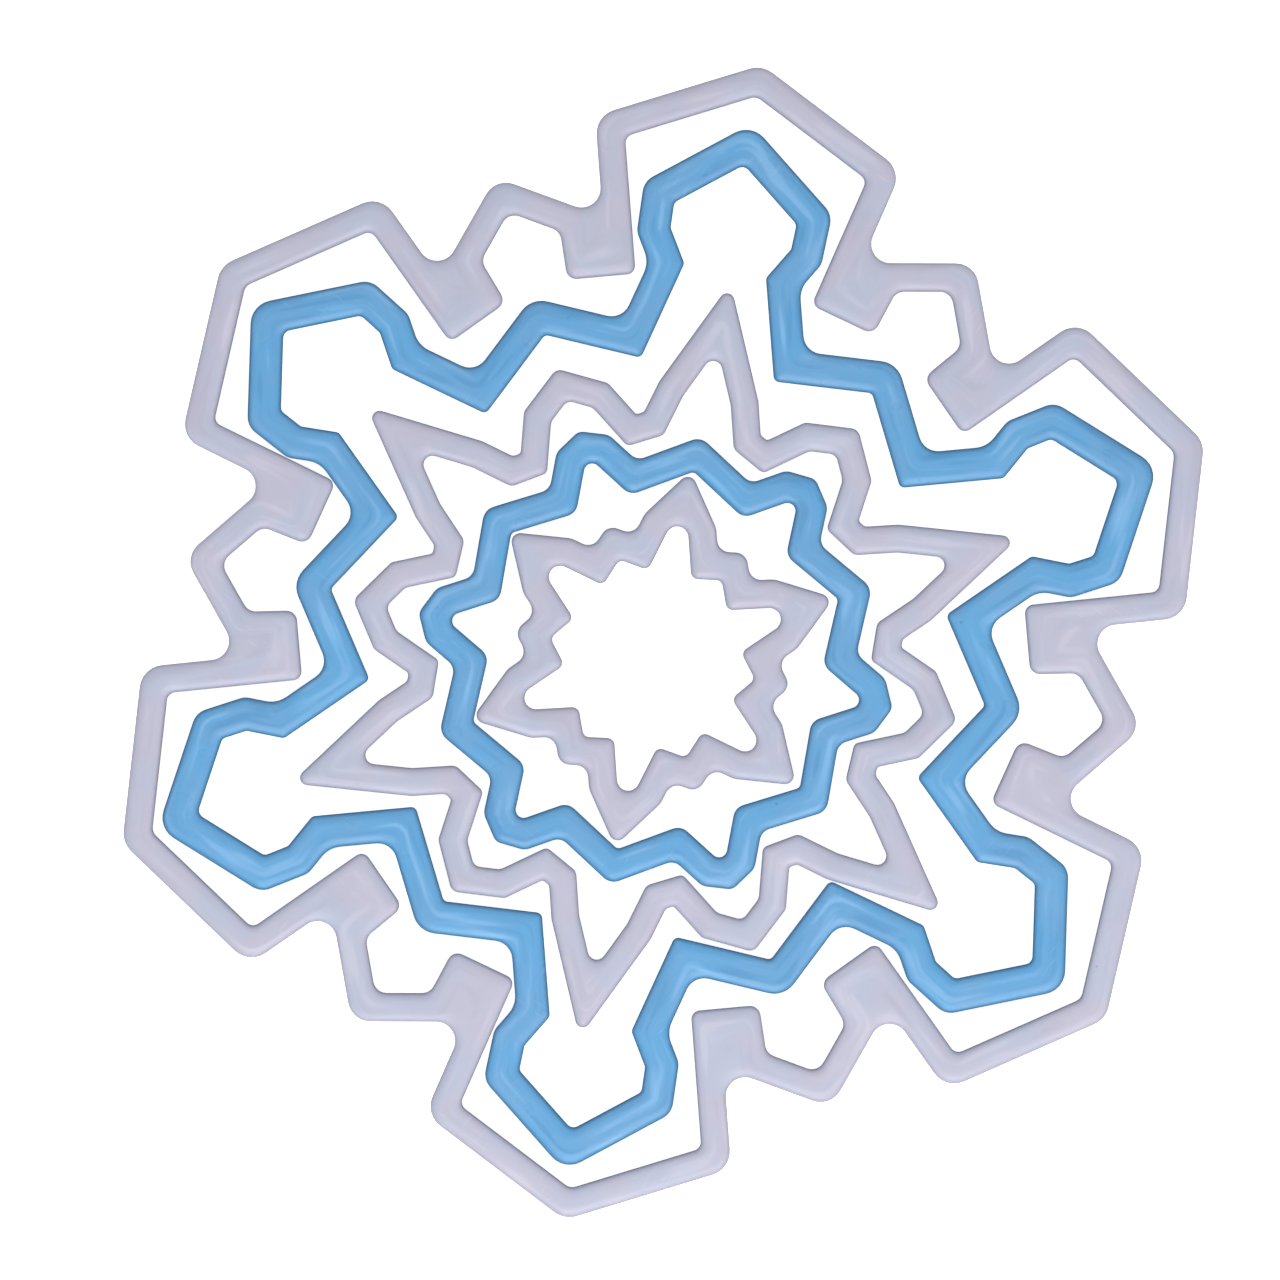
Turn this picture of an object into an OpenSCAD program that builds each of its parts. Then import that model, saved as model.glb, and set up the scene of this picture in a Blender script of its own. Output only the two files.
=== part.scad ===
// Nest of five snowflake cutters. Each one is a single moulding: a thin wall bent
// round a six-armed outline, with a flat grip rim on top and a cutting edge below.
// They stand loosely one inside the other. The largest stands on the origin,
// with one arm along +Y, and every cutting edge stands on z = 0.

/* [Section] */
// Height from cutting edge to top of grip rim
cutter_h = 22; // [16:1:30]
// Thickness of the grip rim
rim_t = 2.4; // [1.6:0.2:4]
// Thickness of the wall under the rim
wall_t = 1.4; // [1.0:0.1:2.0]
// Thickness of the cutting edge
blade_t = 0.7; // [0.5:0.1:1.0]
// Height of the thin cutting edge
blade_h = 6; // [3:0.5:10]

/* [Size] */
// Arm length of the largest cutter, centre to wall
largest_arm = 89.0; // [88.6:0.2:90]
// Arm length of the large cutter, centre to wall
large_arm = 80.4; // [80:0.2:81]
// Arm length of the middle cutter, centre to wall
middle_arm = 55.3; // [54:0.5:57]
// Arm length of the small cutter, centre to wall
small_arm = 33.1; // [33:0.1:33.5]
// Arm length of the smallest cutter, centre to wall
smallest_arm = 26.3; // [25.9:0.1:26.4]

/* [Nest] */
// How far the loose cutters have slid off centre, where 0 is dead centre
looseness = 1; // [0:0.25:1]
// How far the springy largest cutter stands out of round, in percent
squeeze = 0.9; // [0:0.1:0.9]

/* [Hidden] */

pale = [0.77, 0.77, 0.84];
blue = [0.41, 0.66, 0.85];
arms = 6;
arm_turn = 360 / arms;
arc_steps = 6;      // straight pieces in each rounded corner
lap = 0.8;          // how far the wall reaches up into the rim, so that they fuse

// A corner of an outline is [x, y, outer radius, inner radius, corners it stands for].
// Its place is on the wall's centre line. The radii round the rim's outer and inner edges.
function on_arm(r, outer_r, inner_r) = [0, r, outer_r, inner_r, 1];
function between_arms(r, outer_r, inner_r) =
    [r * sin(arm_turn / 2), r * cos(arm_turn / 2), outer_r, inner_r, 1];
function corner(x, y, outer_r, inner_r, stands_for = 1) = [x, y, outer_r, inner_r, stands_for];

// Half of one arm, from the arm's own axis to the axis between two arms.
largest_w = 4.5;
largest_half = [
    on_arm(largest_arm, 4.1, 1.8),
    corner(22.1, 77.9, 3.9, 1.4),
    corner(16.9, 57.5, 2.0, 1.4),   // bottom of the slot beside the arm
    corner(23.2, 55.8, 2.0, 1.7),
    corner(25.4, 62.3, 2.0, 2.1),
    between_arms(74.3, 3.6, 2.1)
];
// The rim bridges each slot, so its outer edge turns in one wide corner there.
largest_bridged = [
    largest_half[0],
    largest_half[1],
    corner(17.8, 61.0, 3.0, 3.0, 3),
    largest_half[5]
];

large_w = 5.2;
large_half = [
    on_arm(large_arm, 3.8, 1.3),
    corner(12.4, 70.6, 3.2, 1.1),
    corner(12.2, 64.6, 2.9, 1.1),
    corner(9.3, 59.8, 4.2, 1.1),    // neck of the arm
    corner(12.6, 47.1, 3.0, 1.0),
    between_arms(55.4, 3.9, 0.9)
];

middle_w = 4.4;
middle_half = [
    on_arm(middle_arm, 1.2, 1.4),
    corner(5.9, 42.4, 3.1, 5.0),
    corner(7.5, 36.5, 1.0, 1.7),
    corner(10.7, 34.8, 0.6, 1.1),
    corner(16.6, 39.2, 1.5, 2.1),
    between_arms(45.8, 1.6, 1.4)
];

small_w = 4.8;
small_half = [
    on_arm(small_arm, 2.5, 0.9),
    corner(9.1, 27.5, 2.1, 2.3),
    corner(14.8, 30.9, 2.6, 1.2),
    between_arms(35.4, 1.8, 1.1)
];

smallest_w = 4.5;
smallest_half = [
    on_arm(smallest_arm, 1.4, 1.7),
    corner(3.7, 21.1, 3.7, 1.0),
    corner(5.1, 16.0, 2.0, 1.2),
    between_arms(19.3, 2.0, 1.1)
];

// Where each loose cutter lies in the nest: [x, y, turn].
large_place = [-0.7, -0.9, -0.2];
middle_place = [-0.8, -3.0, -1.4];
small_place = [-0.7, -3.0, -1.5];
smallest_place = [-1.2, -2.8, -1.5];

// The largest cutter is longer along this direction, and narrower across it.
long_turn = 14;
long_way = [-sin(long_turn), cos(long_turn)];
cross_way = [cos(long_turn), sin(long_turn)];

function unit(v) = v / norm(v);
function place_of(c) = [c[0], c[1]];
function with_place(c, p) = [p[0], p[1], c[2], c[3], c[4]];

function turned(c, a) =
    with_place(c, [c[0] * cos(a) - c[1] * sin(a), c[0] * sin(a) + c[1] * cos(a)]);

// A corner mirrored in the axis between two arms.
function mirrored(c) =
    let (axis = [sin(arm_turn / 2), cos(arm_turn / 2)], p = place_of(c))
    with_place(c, 2 * (p * axis) * axis - p);

// The whole outline, clockwise, from half an arm.
function all_round(half) =
    let (other_half = [for (i = [len(half) - 2 : -1 : 1]) mirrored(half[i])])
    let (one_arm = concat(half, other_half))
    [for (k = [0 : arms - 1]) each [for (c = one_arm) turned(c, -arm_turn * k)]];

// Corners moved apart along long_way and together across it, by a share of their distance.
function squeezed(corners, share) =
    [for (c = corners)
        let (p = place_of(c))
        with_place(c, p + share * ((p * long_way) * long_way - (p * cross_way) * cross_way))];

// The outline moved outwards by shift, with its corners kept sharp.
function shifted(corners, shift) =
    let (n = len(corners))
    [for (i = [0 : n - 1])
        let (
            p = place_of(corners[i]),
            e = unit(p - place_of(corners[(i + n - 1) % n])),
            f = unit(place_of(corners[(i + 1) % n]) - p),
            left_e = [-e[1], e[0]],
            left_f = [-f[1], f[0]]
        )
        with_place(corners[i], p + shift * (left_e + left_f) / (1 + left_e * left_f))];

// A corner's radius changes evenly from the rim's inner edge to its outer edge.
function radius_at(c, shift, w) = c[3] + (c[2] - c[3]) * (shift / w + 0.5);

// The points of the arc that rounds one corner.
function rounded_corner(before, c, after, r) =
    let (
        p = place_of(c),
        u = unit(place_of(before) - p),
        v = unit(place_of(after) - p),
        half_angle = acos(u * v) / 2,
        centre = p + unit(u + v) * r / sin(half_angle),
        first = p + u * r / tan(half_angle) - centre,
        last = p + v * r / tan(half_angle) - centre,
        start = atan2(first[1], first[0]),
        sweep = (atan2(last[1], last[0]) - start + 540) % 360 - 180,
        steps = c[4] * (arc_steps + 1) - 1
    )
    [for (s = [0 : steps])
        let (a = start + sweep * s / steps)
        centre + r * [cos(a), sin(a)]];

// The closed line that runs shift outside the wall's centre line. The share says how far
// out of round it is.
function outline(half, shift, w, share) =
    let (corners = shifted(squeezed(all_round(half), share), shift), n = len(corners))
    [for (i = [0 : n - 1])
        each rounded_corner(
            corners[(i + n - 1) % n], corners[i], corners[(i + 1) % n],
            radius_at(corners[i], shift, w)
        )];

// A closed band of thickness t on the centre line, from z0 up by h.
module band(half, outer_half, w, share, t, z0, h) {
    translate([0, 0, z0])
        linear_extrude(h)
            difference() {
                polygon(outline(outer_half, t / 2, w, share));
                polygon(outline(half, -t / 2, w, share));
            }
}

// One cutter. rim_half is the centre line that the rim's outer edge keeps to.
module cutter(half, rim_half, w, share = 0) {
    band(half, rim_half, w, share, w, cutter_h - rim_t, rim_t);
    band(half, half, w, share, wall_t, blade_h, cutter_h - rim_t + lap - blade_h);
    band(half, half, w, share, blade_t, 0, blade_h + lap);
}

module placed(place) {
    translate([place[0] * looseness, place[1] * looseness, 0])
        rotate([0, 0, place[2] * looseness])
            children();
}

module largest_cutter() {
    color(pale) cutter(largest_half, largest_bridged, largest_w, squeeze / 100);
}

module large_cutter() {
    color(blue) placed(large_place) cutter(large_half, large_half, large_w);
}

module middle_cutter() {
    color(pale) placed(middle_place) cutter(middle_half, middle_half, middle_w);
}

module small_cutter() {
    color(blue) placed(small_place) cutter(small_half, small_half, small_w);
}

module smallest_cutter() {
    color(pale) placed(smallest_place) cutter(smallest_half, smallest_half, smallest_w);
}

largest_cutter();
large_cutter();
middle_cutter();
small_cutter();
smallest_cutter();
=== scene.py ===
import math
import bmesh
import bpy
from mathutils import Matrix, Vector
from mathutils.bvhtree import BVHTree
from mathutils.kdtree import KDTree


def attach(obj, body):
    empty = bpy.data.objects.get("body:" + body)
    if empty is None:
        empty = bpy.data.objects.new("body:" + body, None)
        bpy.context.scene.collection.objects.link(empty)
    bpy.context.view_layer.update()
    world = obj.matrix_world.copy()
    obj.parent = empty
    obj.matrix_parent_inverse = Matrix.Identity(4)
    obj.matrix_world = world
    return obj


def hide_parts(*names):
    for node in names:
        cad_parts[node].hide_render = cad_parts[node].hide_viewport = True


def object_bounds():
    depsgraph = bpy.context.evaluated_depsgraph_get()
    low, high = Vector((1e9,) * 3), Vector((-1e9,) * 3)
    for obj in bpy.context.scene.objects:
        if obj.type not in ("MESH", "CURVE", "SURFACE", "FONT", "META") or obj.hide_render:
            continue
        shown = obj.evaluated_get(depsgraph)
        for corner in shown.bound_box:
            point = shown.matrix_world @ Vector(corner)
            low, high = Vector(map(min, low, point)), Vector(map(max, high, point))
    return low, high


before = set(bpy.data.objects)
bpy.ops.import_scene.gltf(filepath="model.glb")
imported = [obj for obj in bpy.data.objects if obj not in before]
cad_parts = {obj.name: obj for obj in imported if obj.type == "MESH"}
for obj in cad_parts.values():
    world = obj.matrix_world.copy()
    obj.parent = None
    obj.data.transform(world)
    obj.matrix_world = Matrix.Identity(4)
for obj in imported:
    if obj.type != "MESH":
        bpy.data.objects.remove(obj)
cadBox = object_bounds()
mm = 0.001

# The camera looks straight down on the rims, with the set turned a little in view.
cameraSettings = {
    "aim": (-3.667 * mm, -0.256 * mm),
    "turn": 9.93,
    "viewWidth": 201.3 * mm,
    "lens": 300.0,
    "clip": (0.05, 20),
}
rimTop = cadBox[1].z
camData = bpy.data.cameras.new("overheadCamera")
camData.lens = cameraSettings["lens"]
camera = bpy.data.objects.new("overheadCamera", camData)
bpy.context.scene.collection.objects.link(camera)
camHeight = cameraSettings["viewWidth"] * camData.lens / camData.sensor_width
camera.location = (*cameraSettings["aim"], rimTop + camHeight)
camera.rotation_euler = (0, 0, math.radians(cameraSettings["turn"]))
camData.clip_start, camData.clip_end = cameraSettings["clip"]
bpy.context.scene.camera = camera
print("camera placed", round(camHeight, 3), "m above the rims")


sameWithin = 0.02 * mm               # heights closer than this are one height
mergeWithin = 0.001 * mm             # points closer than this are one point
flatWithin = math.radians(0.5)       # triangles that lie this flat make one quad
anyShape = math.radians(180)
sharpAngle = math.radians(45)
levelNormal = 0.9                    # a face whose normal is this upright is level


# Editing helpers. Everything is deselected first, then picked by place or normal.
def editAlone(piece):
    bpy.ops.object.select_all(action="DESELECT")
    piece.select_set(True)
    bpy.context.view_layer.objects.active = piece
    bpy.ops.object.mode_set(mode="EDIT")


def pick(piece, kind, wanted):
    bpy.ops.mesh.select_mode(type=kind)
    bpy.ops.mesh.select_all(action="DESELECT")
    bm = bmesh.from_edit_mesh(piece.data)
    for part in {"VERT": bm.verts, "EDGE": bm.edges, "FACE": bm.faces}[kind]:
        if wanted(part):
            part.select_set(True)
    bmesh.update_edit_mesh(piece.data)


def near(a, b):
    return abs(a - b) < sameWithin


def levelAt(z):
    return lambda part: all(near(v.co.z, z) for v in part.verts)


def openAt(z):
    return lambda edge: edge.is_boundary and levelAt(z)(edge)


# Edges at height z where two faces meet at more than the sharp angle.
def sharpAt(z):
    return lambda edge: (
        levelAt(z)(edge)
        and len(edge.link_faces) == 2
        and edge.calc_face_angle(0) > sharpAngle
    )


# The points of a closed loop of edges in order, clockwise from the one furthest along +Y.
def walkLoop(edges):
    waiting = set(edges[1:])
    path = list(edges[0].verts)
    while waiting:
        edge = next(e for e in path[-1].link_edges if e in waiting)
        waiting.remove(edge)
        path.append(edge.other_vert(path[-1]))
    points = [v.co.xy for v in path[:-1]]
    if sum(a.cross(b) for a, b in zip(points, points[1:] + points[:1])) > 0:
        points.reverse()
    start = max(range(len(points)), key=lambda i: (points[i].y, points[i].x))
    return points[start:] + points[:start]


def areaInside(edges):
    points = walkLoop(edges)
    return abs(sum(a.cross(b) for a, b in zip(points, points[1:] + points[:1])))


# The closed loops of open edges at height z, the one round the largest area first.
def openLoops(bm, z):
    waiting = {e for e in bm.edges if openAt(z)(e)}
    loops = []
    while waiting:
        loop, fresh = [], [waiting.pop()]
        while fresh:
            edge = fresh.pop()
            loop.append(edge)
            touching = {e for v in edge.verts for e in v.link_edges} & waiting
            waiting -= touching
            fresh.extend(touching)
        loops.append(loop)
    return sorted(loops, key=areaInside, reverse=True)


def pickLoops(piece, *places):
    bpy.ops.mesh.select_mode(type="EDGE")
    bpy.ops.mesh.select_all(action="DESELECT")
    bm = bmesh.from_edit_mesh(piece.data)
    for z, rank in places:
        for edge in openLoops(bm, z)[rank]:
            edge.select_set(True)
    bmesh.update_edit_mesh(piece.data)


def bridgeLoops(piece, *places):
    pickLoops(piece, *places)
    bpy.ops.mesh.bridge_edge_loops()


# How far a crowned top lies below its highest point, at a distance in from its edge.
def crownFall(shape, distance):
    left = max(0.0, 1 - distance / shape["crownReach"])
    return shape["crownDrop"] * (1 - math.sqrt(1 - left * left))


# How far the top has sunk over the wall, at a distance from the blade's sides below. It
# is full over the first third of its reach, and then fades out.
def sinkFall(shape, distance):
    share = min(1.0, max(0.0, 1.5 - 1.5 * distance / shape["sinkReach"]))
    return shape["sinkDepth"] * share * share * (3 - 2 * share)


# A search tree of the upright faces that stand on height z.
def facesOn(bm, z):
    points, polygons = [], []
    for f in bm.faces:
        if near(min(v.co.z for v in f.verts), z):
            polygons.append([len(points) + i for i in range(len(f.verts))])
            points.extend(v.co.copy() for v in f.verts)
    return BVHTree.FromPolygons(points, polygons)


# Gives each point of a band its place round the band and across it, for the painted highlight and
# painted shade streaks that run along it. The way round is wound on a circle, so that it has no
# seam.
def markBand(mesh, path, step):
    places = []
    length = 0.0
    for a, b in zip(path, path[1:] + path[:1]):
        side = b - a
        parts = max(1, math.ceil(side.length / step))
        for part in range(parts):
            places.append((a + side * part / parts, side.normalized(), length))
            length += side.length / parts
    tree = KDTree(len(places))
    for index, place in enumerate(places):
        tree.insert((place[0].x, place[0].y, 0), index)
    tree.balance()
    marks = mesh.attributes.new("bandPlace", "FLOAT_VECTOR", "POINT")
    radius = length / (2 * math.pi)
    for v in mesh.vertices:
        point, along, run = places[tree.find((v.co.x, v.co.y, 0))[1]]
        offset = v.co.xy - point
        angle = (run + offset.dot(along)) / radius
        across = along.x * offset.y - along.y * offset.x
        marks.data[v.index].vector = (radius * math.cos(angle), radius * math.sin(angle), across)


# Gives each point its distance from the rim's shoulder, across the top or down a side.
def markEdges(mesh, rimSides, shoulderZ):
    marks = mesh.attributes.new("edgeDistance", "FLOAT", "POINT")
    for v in mesh.vertices:
        across = rimSides.find_nearest((v.co.x, v.co.y, shoulderZ))[3]
        marks.data[v.index].value = across + max(0.0, shoulderZ - v.co.z)


def makeCutter(name, shape):
    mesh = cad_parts[shape["node"]].data.copy()
    mesh.name = name
    mesh.materials.clear()
    piece = bpy.data.objects.new(name, mesh)
    bpy.context.scene.collection.objects.link(piece)
    cuttingZ, ledgeZ, underZ, topZ = sorted({round(v.co.z, 5) for v in mesh.vertices})

    editAlone(piece)
    bpy.ops.mesh.select_all(action="SELECT")
    bpy.ops.mesh.remove_doubles(threshold=mergeWithin)
    bpy.ops.mesh.customdata_custom_splitnormals_clear()
    # the level faces go, which leaves the upright sides of rim, wall and blade
    pick(piece, "FACE", lambda f: abs(f.normal.z) > levelNormal)
    bpy.ops.mesh.delete(type="ONLY_FACE")
    pick(piece, "EDGE", lambda e: e.is_wire)
    bpy.ops.mesh.delete(type="EDGE")
    bpy.ops.mesh.select_all(action="SELECT")
    bpy.ops.mesh.tris_convert_to_quads(face_threshold=flatWithin, shape_threshold=anyShape)
    bm = bmesh.from_edit_mesh(piece.data)
    bladeLine = walkLoop(openLoops(bm, cuttingZ)[0])

    # the rim's sides end at the shoulder, and rows of faces close the top between them
    shoulderZ = topZ - shape["crownDrop"]
    pick(piece, "VERT", lambda v: near(v.co.z, topZ))
    bpy.ops.transform.translate(value=(0, 0, shoulderZ - topZ))
    bm = bmesh.from_edit_mesh(piece.data)
    rimSides, bladeSides = facesOn(bm, underZ), facesOn(bm, cuttingZ)
    pick(piece, "EDGE", openAt(shoulderZ))
    bpy.ops.mesh.bridge_edge_loops()
    bpy.ops.mesh.select_mode(type="FACE")
    for row in shape["edgeRows"]:
        bpy.ops.mesh.inset(thickness=row * mm, depth=0, use_even_offset=True)
    bpy.ops.mesh.delete(type="ONLY_FACE")
    pick(piece, "EDGE", lambda e: e.is_wire)
    bpy.ops.mesh.delete(type="EDGE")
    pick(piece, "EDGE", openAt(shoulderZ))
    bpy.ops.mesh.bridge_edge_loops(number_cuts=shape["crossRows"], interpolation="LINEAR")
    # the crown: each point of the top rises by its distance from the rim's sides, less
    # the sink over the wall
    bm = bmesh.from_edit_mesh(piece.data)
    for v in bm.verts:
        if near(v.co.z, shoulderZ):
            fromSide = rimSides.find_nearest(v.co)[3]
            fromBlade = bladeSides.find_nearest((v.co.x, v.co.y, cuttingZ))[3]
            v.co.z = topZ - crownFall(shape, fromSide) - sinkFall(shape, fromBlade)
    bmesh.update_edit_mesh(piece.data)

    # the underside of the rim, the taper over the blade, and the cutting edge: each
    # bridge closes the outermost open loops, so the next one takes the pair inside
    bridgeLoops(piece, (underZ, 0), (underZ, 1))
    bridgeLoops(piece, (underZ, 0), (underZ, 1))
    bladeTop = ledgeZ - shape["bladeTaper"]
    pickLoops(piece, (ledgeZ, 1), (ledgeZ, 2))
    bpy.ops.transform.translate(value=(0, 0, bladeTop - ledgeZ))
    bridgeLoops(piece, (ledgeZ, 0), (bladeTop, 0))
    bridgeLoops(piece, (ledgeZ, 0), (bladeTop, 0))
    bridgeLoops(piece, (cuttingZ, 0), (cuttingZ, 1))

    bpy.ops.mesh.select_all(action="SELECT")
    bpy.ops.mesh.normals_make_consistent(inside=False)
    pick(piece, "EDGE", sharpAt(underZ))
    bpy.ops.mesh.bevel(
        offset=shape["underEdge"], segments=shape["underSteps"], clamp_overlap=False
    )
    pick(piece, "EDGE", sharpAt(cuttingZ))
    bpy.ops.mesh.bevel(
        offset=shape["tipEdge"], segments=shape["tipSteps"], clamp_overlap=False
    )
    bpy.ops.object.mode_set(mode="OBJECT")
    bpy.ops.object.shade_smooth_by_angle(angle=math.radians(shape["smoothAngle"]))
    markBand(mesh, bladeLine, shape["markStep"])
    markEdges(mesh, rimSides, shoulderZ)
    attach(piece, shape["body"])
    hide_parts(shape["node"])
    print(name, len(mesh.polygons), "faces")
    return piece


# What a cutter's section looks like. Each cutter below may change any of it.
section = {
    "crownDrop": 0.95 * mm,      # how far a rim falls from its middle to its edges
    "crownReach": 1.95 * mm,     # how far in from an edge that fall reaches
    "edgeRows": (0.06, 0.14, 0.2, 0.24),   # widths of the rows along each edge, in mm
    "crossRows": 9,              # cuts along the top between those rows
    "sinkDepth": 0.055 * mm,     # how far the top has sunk over the wall
    "sinkReach": 1.0 * mm,
    "underEdge": 0.5 * mm,       # rounding under the rim
    "underSteps": 3,
    "bladeTaper": 1.1 * mm,      # height over which the wall thins to the blade
    "tipEdge": 0.12 * mm,        # rounding of the cutting edge
    "tipSteps": 2,
    "smoothAngle": 35,
    "markStep": 0.4 * mm,        # how finely the way round the band is measured
}
largestShape = section | {
    "node": "largest_cutter", "body": "largest", "slot": "pale_lilac_plastic",
}
largeShape = section | {
    "node": "large_cutter", "body": "large", "slot": "sky_blue_plastic",
}
middleShape = section | {
    "node": "middle_cutter", "body": "middle", "slot": "pale_lilac_plastic",
}
smallShape = section | {
    "node": "small_cutter", "body": "small", "slot": "sky_blue_plastic",
}
smallestShape = section | {
    "node": "smallest_cutter", "body": "smallest", "slot": "pale_lilac_plastic",
}
lilacCutters = [
    makeCutter("largestCutter", largestShape),
    makeCutter("middleCutter", middleShape),
    makeCutter("smallestCutter", smallestShape),
]
blueCutters = [
    makeCutter("largeCutter", largeShape),
    makeCutter("smallCutter", smallShape),
]


# A node with its settings made, and its inputs set to values or linked to outputs.
def addNode(tree, kind, settings=None, inputs=None):
    made = tree.nodes.new("ShaderNode" + kind)
    for name, value in (settings or {}).items():
        setattr(made, name, value)
    for name, value in (inputs or {}).items():
        if isinstance(value, bpy.types.NodeSocket):
            tree.links.new(value, made.inputs[name])
        else:
            made.inputs[name].default_value = value
    return made


# From 0 to 1 as the value goes from low to high.
def rise(tree, value, low, high):
    made = addNode(tree, "MapRange", {"interpolation_type": "SMOOTHSTEP"}, {
        "Value": value, "From Min": low, "From Max": high,
    })
    return made.outputs["Result"]


def reckon(tree, operation, first, second):
    return addNode(tree, "Math", {"operation": operation}, {0: first, 1: second}).outputs[0]


def mixColors(tree, factor, first, second):
    made = addNode(tree, "Mix", {"data_type": "RGBA"}, {"Factor": factor, "A": first, "B": second})
    return made.outputs["Result"]


def noiseAt(tree, place, scale, detail=1.0):
    made = addNode(tree, "TexNoise", {}, {"Vector": place, "Scale": scale, "Detail": detail})
    return made.outputs["Fac"]


# The object's own coordinates, turned about Z and then stretched.
def placeOn(tree, stretch=(1, 1, 1), turn=0.0):
    place = addNode(tree, "TexCoord").outputs["Object"]
    turned = addNode(tree, "Mapping", {}, {"Vector": place, "Rotation": (0, 0, math.radians(turn))})
    return addNode(tree, "Mapping", {}, {
        "Vector": turned.outputs["Vector"], "Scale": stretch,
    }).outputs["Vector"]


# An empty node group with named inputs and outputs, each "Float" or "Color".
def newGroup(name, takes, gives):
    group = bpy.data.node_groups.new(name, "ShaderNodeTree")
    for direction, sockets in (("INPUT", takes), ("OUTPUT", gives)):
        for label, kind in sockets.items():
            group.interface.new_socket(
                label, in_out=direction, socket_type="NodeSocket" + kind
            )
    given = group.nodes.new("NodeGroupInput").outputs
    result = group.nodes.new("NodeGroupOutput").inputs
    return group, given, result


# Each pair of levels says where a mask starts and where it is full.
pigmentShape = {"detail": 2.0, "levels": (0.38, 0.62)}


# Slow patches of tint over a base colour, as in pigment that isn't quite evenly mixed.
def makePigmentPatches():
    group, given, result = newGroup(
        "pigmentPatches",
        {"Base": "Color", "Warm": "Color", "Cool": "Color", "Patch Scale": "Float",
         "Strength": "Float"},
        {"Color": "Color"},
    )
    place = placeOn(group)
    slow = noiseAt(group, place, given["Patch Scale"], pigmentShape["detail"])
    mask = rise(group, slow, *pigmentShape["levels"])
    tint = mixColors(group, mask, given["Warm"], given["Cool"])
    group.links.new(mixColors(group, given["Strength"], given["Base"], tint), result["Color"])
    return group


streakShape = {
    "detail": 1.5,
    "levels": {"Light": (0.52, 0.72), "Dark": (0.46, 0.28)},
    "bandLevels": (1.0, 0.6),    # share of the half width, from none to full
}


# Painted highlight and painted shade: faint lighter and darker lines that run along a band, away
# from its edges, in place of the light and shade that the crowned, sunken top catches.
def makeHighlightAndShadeStreaks():
    group, given, result = newGroup(
        "highlightAndShadeStreaks",
        {"Length Scale": "Float", "Width Scale": "Float", "Half Width": "Float"},
        {"Light": "Float", "Dark": "Float"},
    )
    place = addNode(group, "Attribute", {"attribute_name": "bandPlace"}).outputs["Vector"]
    parts = addNode(group, "SeparateXYZ", {}, {"Vector": place}).outputs
    stretched = addNode(group, "CombineXYZ", {}, {
        "X": reckon(group, "MULTIPLY", parts["X"], given["Length Scale"]),
        "Y": reckon(group, "MULTIPLY", parts["Y"], given["Length Scale"]),
        "Z": reckon(group, "MULTIPLY", parts["Z"], given["Width Scale"]),
    }).outputs["Vector"]
    lines = noiseAt(group, stretched, 1.0, streakShape["detail"])
    spread = reckon(group, "DIVIDE", parts["Z"], given["Half Width"])
    onBand = rise(group, reckon(group, "ABSOLUTE", spread, 0.0), *streakShape["bandLevels"])
    for label, levels in streakShape["levels"].items():
        mask = reckon(group, "MULTIPLY", rise(group, lines, *levels), onBand)
        group.links.new(mask, result[label])
    return group


# Painted shade: how near a point is to the rim's shoulder, so that the colour darkens there and
# down the rim's sides, standing in for the shade along the steep rounded edges.
def makePaintedEdgeShade():
    group, given, result = newGroup("paintedEdgeShade", {"Reach": "Float"}, {"Edge Shade": "Float"})
    distance = addNode(group, "Attribute", {"attribute_name": "edgeDistance"}).outputs["Fac"]
    group.links.new(rise(group, distance, given["Reach"], 0.0), result["Edge Shade"])
    return group


scratchShape = {
    "turns": (24, -57),
    "stretch": (420, 2600, 300),
    "levels": (0.70, 0.78),
    "patchTurn": 10,             # how far the patches are turned past the scratches
    "patchScale": 70.0,
    "patchLevels": (0.55, 0.7),
}
speckShape = {
    "scale": 130.0,
    "levels": (0.045, 0.02),     # distance from a speck's middle
    "chosen": (0.78, 0.8),       # past this share of the cells, a cell has a speck
}


# Short scratches in two directions, in patches, and a few sunken specks.
def makeHandlingMarks():
    group, given, result = newGroup(
        "handlingMarks",
        {"Scratch Amount": "Float", "Speck Amount": "Float"},
        {"Scratches": "Float", "Specks": "Float"},
    )
    scratches = 0.0
    for turn in scratchShape["turns"]:
        thin = noiseAt(group, placeOn(group, scratchShape["stretch"], turn), 1.0, 0.0)
        patchPlace = placeOn(group, turn=turn + scratchShape["patchTurn"])
        where = noiseAt(group, patchPlace, scratchShape["patchScale"])
        thinMask = rise(group, thin, *scratchShape["levels"])
        whereMask = rise(group, where, *scratchShape["patchLevels"])
        lines = reckon(group, "MULTIPLY", thinMask, whereMask)
        scratches = reckon(group, "MAXIMUM", scratches, lines)
    group.links.new(
        reckon(group, "MULTIPLY", scratches, given["Scratch Amount"]), result["Scratches"]
    )
    cells = addNode(group, "TexVoronoi", {}, {
        "Vector": placeOn(group), "Scale": speckShape["scale"],
    }).outputs
    chosen = addNode(group, "SeparateXYZ", {}, {"Vector": cells["Color"]}).outputs["X"]
    dots = rise(group, cells["Distance"], *speckShape["levels"])
    specks = reckon(group, "MULTIPLY", dots, rise(group, chosen, *speckShape["chosen"]))
    group.links.new(reckon(group, "MULTIPLY", specks, given["Speck Amount"]), result["Specks"])
    return group


skinShape = {
    "grainDetail": 2.0,
    "grainHeight": 0.12,         # against the waves
    "middle": 0.5,               # the noise's own middle value
}


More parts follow.
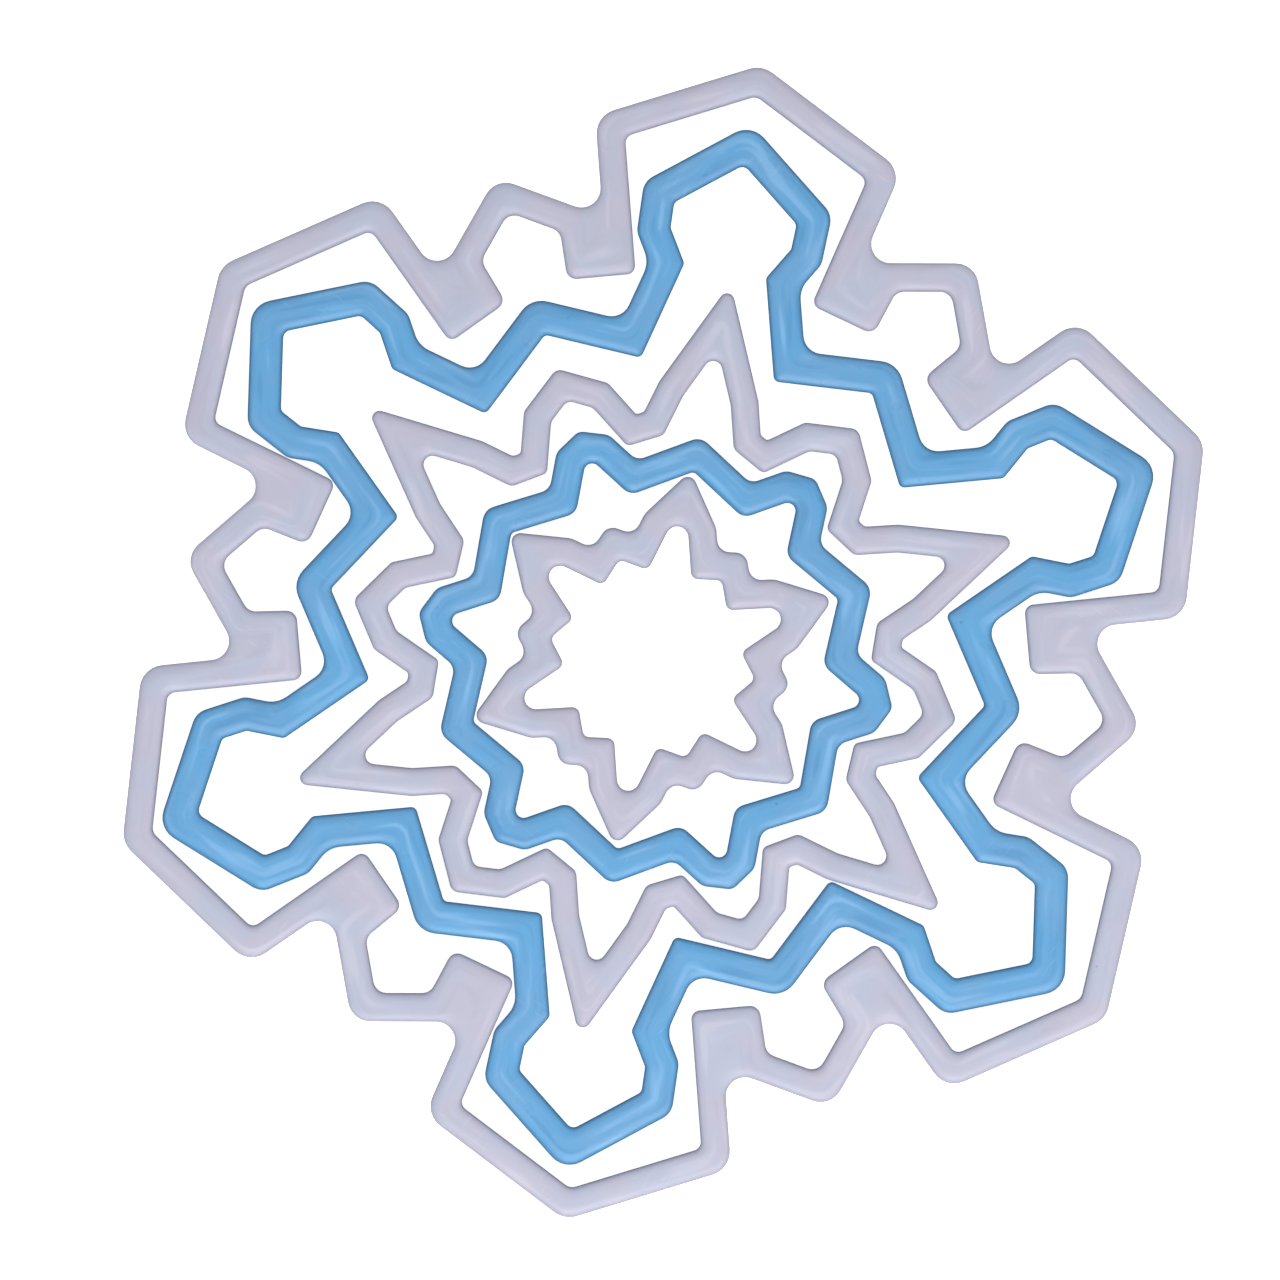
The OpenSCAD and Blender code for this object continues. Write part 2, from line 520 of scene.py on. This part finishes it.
# The skin of a moulding: a slight waviness with a fine grain on it.
def makeMouldedSkin():
    group, given, result = newGroup(
        "mouldedSkin",
        {"Grain Scale": "Float", "Wave Scale": "Float", "Roughness": "Float",
         "Variation": "Float"},
        {"Height": "Float", "Roughness": "Float"},
    )
    place = placeOn(group)
    grain = noiseAt(group, place, given["Grain Scale"], skinShape["grainDetail"])
    wave = noiseAt(group, place, given["Wave Scale"])
    raised = reckon(group, "MULTIPLY", grain, skinShape["grainHeight"])
    height = reckon(group, "ADD", raised, wave)
    group.links.new(height, result["Height"])
    swing = reckon(group, "SUBTRACT", wave, skinShape["middle"])
    change = reckon(group, "MULTIPLY", swing, given["Variation"])
    group.links.new(reckon(group, "ADD", change, given["Roughness"]), result["Roughness"])
    return group


pigmentPatches = makePigmentPatches()
highlightAndShadeStreaks = makeHighlightAndShadeStreaks()
paintedEdgeShade = makePaintedEdgeShade()
handlingMarks = makeHandlingMarks()
mouldedSkin = makeMouldedSkin()


def placeGroup(tree, group, values):
    made = addNode(tree, "Group", {"node_tree": group})
    for name, value in values.items():
        made.inputs[name].default_value = value
    return made.outputs


# A gloss moulding plastic with all of the effects above in it, among them the painted shade at the
# rim's edges and the painted highlight and shade streaks.
def makePlastic(name, look):
    material = bpy.data.materials.new(name)
    material.use_nodes = True
    tree = material.node_tree
    shader = tree.nodes["Principled BSDF"]
    patches = placeGroup(tree, pigmentPatches, look["patches"])
    streaks = placeGroup(tree, highlightAndShadeStreaks, look["streaks"])
    edges = placeGroup(tree, paintedEdgeShade, look["edges"])
    marks = placeGroup(tree, handlingMarks, look["marks"])
    skin = placeGroup(tree, mouldedSkin, look["skin"])
    color = patches["Color"]
    # The streak and edge colours mixed in here are painted highlight and painted shade; the
    # scratches and specks are wear.
    for mask, strength, tone in (
        (streaks["Light"], look["highlightStreak"], look["highlightAndScuffColor"]),
        (streaks["Dark"], look["shadeStreak"], look["shadeStreakColor"]),
        (edges["Edge Shade"], look["edgeShadeStrength"], look["edgeShadeColor"]),
        (marks["Scratches"], look["scratchStrength"], look["highlightAndScuffColor"]),
        (marks["Specks"], look["speckStrength"], look["speckTone"]),
    ):
        color = mixColors(tree, reckon(tree, "MULTIPLY", mask, strength), color, tone)
    tree.links.new(color, shader.inputs["Base Color"])
    worn = reckon(tree, "MULTIPLY", marks["Scratches"], look["wornRoughness"])
    tree.links.new(reckon(tree, "ADD", skin["Roughness"], worn), shader.inputs["Roughness"])
    sunk = reckon(tree, "ADD", marks["Scratches"], marks["Specks"])
    depth = reckon(tree, "MULTIPLY", sunk, look["markDepth"])
    height = reckon(tree, "SUBTRACT", skin["Height"], depth)
    bump = addNode(tree, "Bump", {}, {
        "Height": height, "Strength": look["bumpStrength"], "Distance": look["bumpDepth"],
    })
    tree.links.new(bump.outputs["Normal"], shader.inputs["Normal"])
    shader.inputs["Subsurface Weight"].default_value = look["subsurface"]
    shader.inputs["Subsurface Scale"].default_value = look["subsurfaceScale"]
    shader.inputs["IOR"].default_value = look["ior"]
    return material


# What the two plastics share. Each plastic below adds its own colours and amounts.
mouldedPlastic = {
    "patches": {"Patch Scale": 90.0, "Strength": 0.6},
    "streaks": {"Length Scale": 80.0, "Width Scale": 650.0},
    "skin": {"Grain Scale": 1500.0, "Wave Scale": 160.0, "Variation": 0.16},
    "scratchStrength": 0.22,
    "speckStrength": 0.6,
    "wornRoughness": 0.25,       # how much rougher a scratch is than the skin
    "markDepth": 0.35,           # how deep the marks lie, against the skin's waves
    "bumpStrength": 0.5,
    "bumpDepth": 0.05 * mm,
    "subsurfaceScale": 1.5 * mm,
    "ior": 1.5,
}
paleLilacPlastic = mouldedPlastic | {
    "patches": mouldedPlastic["patches"] | {
        "Base": (0.478, 0.49, 0.618, 1),
        "Warm": (0.505, 0.485, 0.60, 1),
        "Cool": (0.45, 0.495, 0.63, 1),
    },
    "streaks": mouldedPlastic["streaks"] | {"Half Width": 2.3 * mm},
    # The streak colours are painted highlight and painted shade. The light one also whitens the
    # scratches, which are wear.
    "highlightStreak": 0.32,
    "shadeStreak": 0.28,
    "highlightAndScuffColor": (0.66, 0.65, 0.76, 1),
    "shadeStreakColor": (0.40, 0.39, 0.50, 1),
    "speckTone": (0.20, 0.19, 0.24, 1),
    # The edge colour is painted shade along the rim's shoulder and sides.
    "edges": {"Reach": 0.68 * mm},
    "edgeShadeStrength": 0.55,
    "edgeShadeColor": (0.29, 0.295, 0.39, 1),
    "marks": {"Scratch Amount": 1.0, "Speck Amount": 1.0},
    "skin": mouldedPlastic["skin"] | {"Roughness": 0.34},
    "subsurface": 0.25,
}
skyBluePlastic = mouldedPlastic | {
    "patches": mouldedPlastic["patches"] | {
        "Base": (0.118, 0.36, 0.65, 1),
        "Warm": (0.137, 0.357, 0.63, 1),
        "Cool": (0.102, 0.365, 0.67, 1),
    },
    "streaks": mouldedPlastic["streaks"] | {"Half Width": 2.5 * mm},
    # The streak colours are painted highlight and painted shade. The light one also whitens the
    # scratches, which are wear.
    "highlightStreak": 0.6,
    "shadeStreak": 0.55,
    "highlightAndScuffColor": (0.24, 0.50, 0.80, 1),
    "shadeStreakColor": (0.07, 0.27, 0.54, 1),
    "speckTone": (0.04, 0.14, 0.30, 1),
    # The edge colour is painted shade along the rim's shoulder and sides.
    "edges": {"Reach": 0.76 * mm},
    "edgeShadeStrength": 0.8,
    "edgeShadeColor": (0.045, 0.18, 0.35, 1),
    "marks": {"Scratch Amount": 1.0, "Speck Amount": 0.7},
    "skin": mouldedPlastic["skin"] | {"Roughness": 0.3},
    "subsurface": 0.2,
}
lilac = makePlastic("paleLilacPlastic", paleLilacPlastic)
blue = makePlastic("skyBluePlastic", skyBluePlastic)
for piece in lilacCutters:
    piece.data.materials.append(lilac)
for piece in blueCutters:
    piece.data.materials.append(blue)
print("plastics made")

# The pale board that the set stands on. To the camera it also glows white, so that it
# stays white between the cutters. That glow lights nothing else.
board = {
    "size": 6.0,
    "color": (0.9, 0.9, 0.9, 1),
    "roughness": 0.8,
    "glow": 1.0,
    "glowColor": (1, 1, 1, 1),
}
bpy.ops.object.select_all(action="DESELECT")
bpy.ops.mesh.primitive_plane_add(size=board["size"], location=(0, 0, 0))
floor = bpy.context.active_object
floor.name = "floor"
boardFinish = bpy.data.materials.new("whiteBoard")
boardFinish.use_nodes = True
boardTree = boardFinish.node_tree
surface = boardTree.nodes["Principled BSDF"]
surface.inputs["Base Color"].default_value = board["color"]
surface.inputs["Roughness"].default_value = board["roughness"]
surface.inputs["Emission Color"].default_value = board["glowColor"]
rays = addNode(boardTree, "LightPath").outputs
glow = reckon(boardTree, "MULTIPLY", rays["Is Camera Ray"], board["glow"])
boardTree.links.new(glow, surface.inputs["Emission Strength"])
floor.data.materials.append(boardFinish)

# An even white room round the board.
surround = {"color": (1.0, 1.0, 1.0, 1), "strength": 0.715}
world = bpy.data.worlds.new("studio")
bpy.context.scene.world = world
world.use_nodes = True
sky = world.node_tree.nodes["Background"]
sky.inputs["Color"].default_value = surround["color"]
sky.inputs["Strength"].default_value = surround["strength"]

# Where each soft box stands as the camera sees it (degrees clockwise from the top of the
# picture, degrees up, metres away), its size, power and colour.
softBoxes = {
    "lowFrontBox": {
        "round": 180, "up": 35, "away": 0.8, "size": 0.45, "power": 1.2,
        "color": (0.84, 0.98, 1.0),
    },
    "highFrontBox": {
        "round": 180, "up": 60, "away": 0.8, "size": 0.45, "power": 1.65,
        "color": (1.0, 0.97, 0.96),
    },
    "sideBox": {
        "round": 135, "up": 35, "away": 0.8, "size": 0.45, "power": 0.85,
        "color": (1.0, 0.72, 0.63),
    },
    "topBox": {
        "round": 0, "up": 90, "away": 2.0, "size": 1.2, "power": 1.4,
        "color": (0.82, 1.0, 0.95),
    },
}
turn = math.radians(cameraSettings["turn"])
pictureRight = Vector((math.cos(turn), math.sin(turn), 0))
pictureUp = Vector((-math.sin(turn), math.cos(turn), 0))
for name, box in softBoxes.items():
    light = bpy.data.lights.new(name, "AREA")
    light.shape = "SQUARE"
    light.size = box["size"]
    light.energy = box["power"]
    light.color = box["color"]
    stand = bpy.data.objects.new(name, light)
    bpy.context.scene.collection.objects.link(stand)
    around, rising = math.radians(box["round"]), math.radians(box["up"])
    level = math.sin(around) * pictureRight + math.cos(around) * pictureUp
    towards = math.cos(rising) * level + Vector((0, 0, math.sin(rising)))
    stand.location = box["away"] * towards
    stand.rotation_euler = towards.to_track_quat("Z", "Y").to_euler()
    stand.visible_camera = False
bpy.context.scene.view_settings.view_transform = "Standard"
print("board and lights placed")

print("finished")
